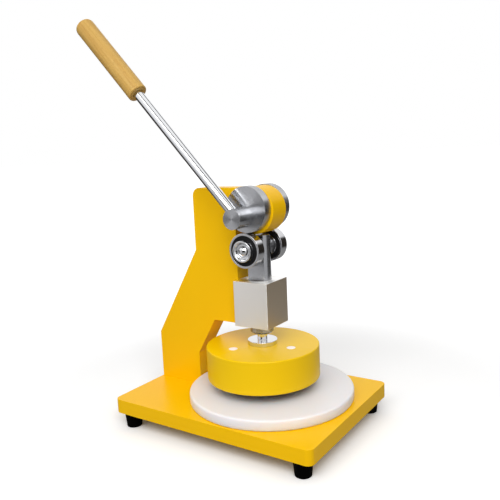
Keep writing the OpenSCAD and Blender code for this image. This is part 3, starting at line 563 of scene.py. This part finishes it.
# Faint haze left by the mop, 11 mm across
haze = add_node(tree, "TexNoise", {"Vector": place, "Scale": 90, "Detail": 3})
dull = add_node(tree, "MapRange", {"Value": haze.outputs[0], "To Min": 0.02, "To Max": 0.06})
fill(shader, {"Roughness": dull.outputs[0], "Base Color": linear("#dcdddf"), "Metallic": 1})

rod_r, rod_foot, rod_end = 0.006, -0.0021, 0.2851
rod = turned("rod", [(rod_r, rod_foot), (rod_r, rod_end)], 64)
set_in_place(rod, (0, lever_y, shaft_z), (0, lean, 0))
soften(rod, 0.0005)
dress(rod, polished, "lever", "polished_steel", "lever_rod")

# Grip.
# Turned from beech with rounded ends and varnished. Fine dark flecks of the wood's rays run
# along it, over a slow change from honey to straw.
beech, tree, shader, place = new_material("varnished_beech")
along = add_node(tree, "Mapping", {"Vector": place, "Location": (0, lever_y, shaft_z),
                                   "Rotation": (0, lean, 0)}, vector_type="TEXTURE")
# Bands of growth 2 mm apart and drawn out along the grip
growth_way = add_node(tree, "Mapping", {"Vector": along.outputs[0], "Scale": (1, 1, 0.03)})
growth = add_node(tree, "TexNoise", {"Vector": growth_way.outputs[0], "Scale": 500, "Detail": 3,
                                     "Distortion": 0.3})
bands = add_node(tree, "ValToRGB", {0: growth.outputs[0]})
bands.color_ramp.elements[0].position = 0.3
bands.color_ramp.elements[0].color = linear("#c39648")
bands.color_ramp.elements[1].position = 0.7
bands.color_ramp.elements[1].color = linear("#d3ac5c")
# Flecks 0.4 mm wide and 3 mm long
fleck_way = add_node(tree, "Mapping", {"Vector": along.outputs[0], "Scale": (2500, 2500, 330)})
fleck = add_node(tree, "TexNoise", {"Vector": fleck_way.outputs[0], "Scale": 1, "Detail": 1})
dark = add_node(tree, "MapRange", {"Value": fleck.outputs[0], "From Min": 0.6, "From Max": 0.75,
                                   "To Max": 0.6})
wood = add_node(tree, "Mix", {0: dark.outputs[0], 6: bands.outputs[0], 7: linear("#9a6b24")},
                data_type="RGBA")
bump = add_node(tree, "Bump", {"Height": growth.outputs[0], "Strength": 0.06, "Distance": 0.0003})
fill(shader, {"Base Color": wood.outputs[2], "Normal": bump.outputs[0], "Roughness": 0.45,
              "Specular IOR Level": 0.35})

grip_start, grip_r, hole_r = 0.199, 0.012, 0.00602
grip = turned("grip", [(hole_r, 0.0863), (hole_r, 0), (0.0105, 0), (grip_r, 0.0008),
                       (grip_r, 0.119), (0.0112, 0.1216), (0.0092, 0.123)], 64)
grip_at = Vector((0, lever_y, shaft_z)) + grip_start * Vector((sin(lean), 0, cos(lean)))
set_in_place(grip, grip_at, (0, lean, 0))
soften(grip, 0.0008)
dress(grip, beech, "lever", "wood", "lever_grip")

# Ram.
# Bright turned bar with two milled flats at its head, through which the roller axle goes.
# The same steel as the shaft, with its rings about the upright axis.
upright_steel = turned_steel.copy()
upright_steel.name = "turned_steel_upright"
next(n for n in upright_steel.node_tree.nodes if n.type == "TANGENT").axis = "Z"

ram_low, ram_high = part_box("ram")
axle_low, axle_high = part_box("roller_axle")
axle_z = (axle_low.z + axle_high.z) / 2
shoulder_z, flats_z = block_high.z - 0.018, block_high.z - 0.005
stem_r, head_r, flat_y = 0.008, 0.01375, 0.008
axle_r, stud_r = 0.00852, 0.00505
ram = turned("ram_bar", [(stem_r, ram_low.z), (stem_r, shoulder_z), (head_r, shoulder_z),
                         (head_r, ram_high.z)])
for low_y, high_y in ((-0.02, -flat_y), (flat_y, 0.02)):
    cut(ram, box_piece("milled", Vector((-0.02, low_y, flats_z)), Vector((0.02, high_y, 0.2))))
hole = turned("axle_hole", [(axle_r, -0.02), (axle_r, 0.02)], 64)
cut(ram, set_in_place(hole, (0, 0, axle_z), laid))
soften(ram, 0.0006)
hole = turned("stud_hole", [(stud_r, -0.01), (stud_r, 0.017)], 48)
cut(ram, set_in_place(hole, (0, 0, ram_low.z)))
dress(ram, upright_steel, "ram", "turned_steel", "ram")
finish_nodes(turned_steel, "roller_axle", "axle_spacers")

# Roller bearings.
# Ground and hardened rings, nearly mirror bright, with black nitrile seals. Cup washers and
# domed screws hold them on the axle.
bearing_steel, tree, shader, place = new_material("ground_bearing_steel")
# Faint haze left by the stone, 5 mm across
haze = add_node(tree, "TexNoise", {"Vector": place, "Scale": 200, "Detail": 3})
dull = add_node(tree, "MapRange", {"Value": haze.outputs[0], "To Min": 0.1, "To Max": 0.18})
fill(shader, {"Roughness": dull.outputs[0], "Base Color": linear("#c8c8ca"), "Metallic": 1})
finish_nodes(bearing_steel, "front_inner_race", "rear_inner_race", "front_balls", "rear_balls")
# Moulded nitrile of the seals, which hardly shines and has a fine grain, 0.7 mm across
nitrile, tree, shader, place = new_material("black_nitrile_seal")
grain = add_node(tree, "TexNoise", {"Vector": place, "Scale": 1500, "Detail": 2})
bump = add_node(tree, "Bump", {"Height": grain.outputs[0], "Strength": 0.1, "Distance": 0.0001})
fill(shader, {"Normal": bump.outputs[0], "Base Color": linear("#0c0c0e"), "Roughness": 0.55,
              "Specular IOR Level": 0.2})
finish_nodes(nitrile, "front_seals", "rear_seals")
# Brass-coloured sheet of the ball cages, seen only where a bearing is opened
sheet_brass = bronze.copy()
sheet_brass.name = "stamped_brass_cage"
fill(sheet_brass.node_tree.nodes["Principled BSDF"], {"Base Color": linear("#c5a25a")})
finish_nodes(sheet_brass, "front_cage", "rear_cage")

# The outer ring has the balls' groove inside and a step for the seal at both ends
ring_r, step_r, land_r, ring_y, step_y = 0.02, 0.0175, 0.01685, 0.006, 0.0046
ball_way_r, groove_r = 0.01425, 0.003415
groove = [(ball_way_r + groove_r * cos(radians(a)), groove_r * sin(radians(a)))
          for a in range(46, -47, -23)]
race = turned("race", [(step_r, -ring_y), (ring_r, -ring_y), (ring_r, ring_y), (step_r, ring_y),
                       (step_r, step_y), (land_r, step_y)] + groove
              + [(land_r, -step_y), (step_r, -step_y), (step_r, -ring_y)])
# The washer is turned as a shallow cup, and the screw's dome shines from inside it
cup_r, rim_r, floor_r, hole_r, cup_h, floor_h = 0.01225, 0.01025, 0.008, 0.00405, 0.005, 0.0015
washer = turned("washer", [(cup_r, 0), (cup_r, cup_h), (rim_r, cup_h), (floor_r, floor_h),
                           (hole_r, floor_h), (hole_r, 0), (cup_r, 0)], 64)
# The dome is part of a sphere, over a straight shank
dome_r, dome_sunk, shank_r, shank_l = 0.00728, 0.00328, 0.004, 0.016
dome = [(dome_r * sin(radians(a)), dome_r * cos(radians(a)) - dome_sunk)
        for a in range(60, 4, -8)]
screw = turned("screw", [(shank_r, -shank_l), (shank_r, 0), (0.0065, 0)] + dome, 64)
# How far each stands out along the axle, from the middle of the ram
race_y, washer_y, screw_y = 0.025, 0.031, 0.0325
for side, way in (("front", -1), ("rear", 1)):
    outward = (radians(-90 * way), 0, 0)
    side_race = copy_of(race, side + "_race")
    set_in_place(side_race, (0, way * race_y, axle_z), laid)
    soften(side_race, 0.0006)
    dress(side_race, bearing_steel, side + "_roller", "bearing_steel", side + "_outer_race")
    side_washer = copy_of(washer, side + "_washer")
    set_in_place(side_washer, (0, way * washer_y, axle_z), outward)
    soften(side_washer, 0.0005)
    dress(side_washer, polished, "ram", "polished_steel", "end_washers")
    side_screw = copy_of(screw, side + "_screw")
    set_in_place(side_screw, (0, way * screw_y, axle_z), outward)
    soften(side_screw, 0.0002)
    dress(side_screw, polished, "ram", "polished_steel", "domed_screws")
for pattern in (race, washer, screw):
    bpy.data.objects.remove(pattern)

# Stop collar.
# Turned ring with a bevelled lower rim, held on the ram's stem by a grub screw. It stops the
# ram under the guide block.
collar_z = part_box("stop_collar")[0].z
collar_r, collar_h, bevel, hole_r = 0.014, 0.01, 0.002, 0.00802
grub_r, grub_z = 0.00205, 0.006
collar = turned("collar", [(hole_r, 0), (collar_r - bevel, 0), (collar_r, bevel),
                           (collar_r, collar_h), (hole_r, collar_h), (hole_r, 0)])
grub_hole = turned("grub_hole", [(grub_r, 0), (grub_r, 0.02)], 24)
cut(collar, set_in_place(grub_hole, (0, 0, grub_z), (0, radians(-90), 0)))
set_in_place(collar, (0, 0, collar_z))
soften(collar, 0.0004)
dress(collar, upright_steel, "ram", "turned_steel", "stop_collar")

# Spindle.
# Turned and chromed, with a flange that the housing hangs from, a neck, and a stud at each
# end, one in the ram and one through the housing.
spindle_low, spindle_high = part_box("spindle")
house_low, house_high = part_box("cutter_housing")
top_z = house_high.z
stud_r, neck_r, flange_r, flange_t = 0.005, 0.006, 0.01775, 0.0055
spindle = turned("chromed_spindle", [
    (stud_r, spindle_low.z), (stud_r, top_z), (flange_r, top_z), (flange_r, top_z + flange_t),
    (neck_r, top_z + flange_t), (neck_r, ram_low.z), (stud_r, ram_low.z),
    (stud_r, spindle_high.z)])
soften(spindle, 0.0007)
dress(spindle, polished, "ram", "polished_steel", "spindle")

# Cutter housing and plugs.
# The round housing, in which the sharp ring is screwed, has its own copy of the enamel,
# with less red and a little more green, so nearer to lemon, and glossier. White nylon plugs
# close the holes over the ring's screws.
lemon_enamel = enamel.copy()
lemon_enamel.name = "lemon_stove_enamel"
tint = next(n for n in lemon_enamel.node_tree.nodes if n.type == "MIX")
fill(tint, {6: linear("#f5ca00"), 7: linear("#f1c300")})
fill(lemon_enamel.node_tree.nodes["Principled BSDF"], {"Specular IOR Level": 0.22})
# Moulded nylon, whiter and less clear than the pad's plastic
nylon = polyethylene.copy()
nylon.name = "white_nylon"
fill(nylon.node_tree.nodes["Principled BSDF"], {"Base Color": linear("#fff6f2"),
                                                "Subsurface Weight": 0})

house_r, room_r, hole_r, roof_t = (house_high.x - house_low.x) / 2, 0.0609, 0.00505, 0.01
housing = turned("housing", [(hole_r, top_z - roof_t), (room_r, top_z - roof_t),
                             (room_r, house_low.z), (house_r, house_low.z), (house_r, top_z),
                             (hole_r, top_z), (hole_r, top_z - roof_t)], 160)
soften(housing, 0.0015, 4)
plug_way, plug_r, head_r, screw_r, head_z = 0.039, 0.00525, 0.00527, 0.00305, -0.0085
screw_hole = turned("screw_hole", [(screw_r, -0.02), (screw_r, head_z), (head_r, head_z),
                                   (head_r, 0.01)], 48)
plug = turned("plug", [(plug_r, -0.0025), (plug_r, 0.0002)], 48)
for turn in (0, 120, 240):
    plug_at = (plug_way * cos(radians(turn)), plug_way * sin(radians(turn)), top_z)
    cut(housing, set_in_place(copy_of(screw_hole, "cutter"), plug_at))
    white_plug = copy_of(plug, "plug_%d" % turn)
    set_in_place(white_plug, plug_at)
    soften(white_plug, 0.0003)
    dress(white_plug, nylon, "ram", "white_plastic", "screw_plugs")
for pattern in (screw_hole, plug):
    bpy.data.objects.remove(pattern)
dress(housing, lemon_enamel, "ram", "yellow_paint", "cutter_housing")

# Cutting ring and foam.
# Ring of ground tool steel, and the foam that pushes the cut sample out of it. Tool steel is
# greyer than the bright bar, and the foam is dark and dull, with cut cells at its skin.
tool_steel = upright_steel.copy()
tool_steel.name = "ground_tool_steel"
fill(tool_steel.node_tree.nodes["Principled BSDF"], {"Base Color": linear("#9fa1a5")})
finish_nodes(tool_steel, "cutting_ring")
foam, tree, shader, place = new_material("closed_cell_foam")
# Cells of the foam, 0.8 mm across
cells = add_node(tree, "TexVoronoi", {"Vector": place, "Scale": 1250})
bump = add_node(tree, "Bump", {"Height": cells.outputs[0], "Strength": 0.4, "Distance": 0.0004})
fill(shader, {"Normal": bump.outputs[0], "Base Color": linear("#343c45"), "Roughness": 0.9})
finish_nodes(foam, "foam_ejector")
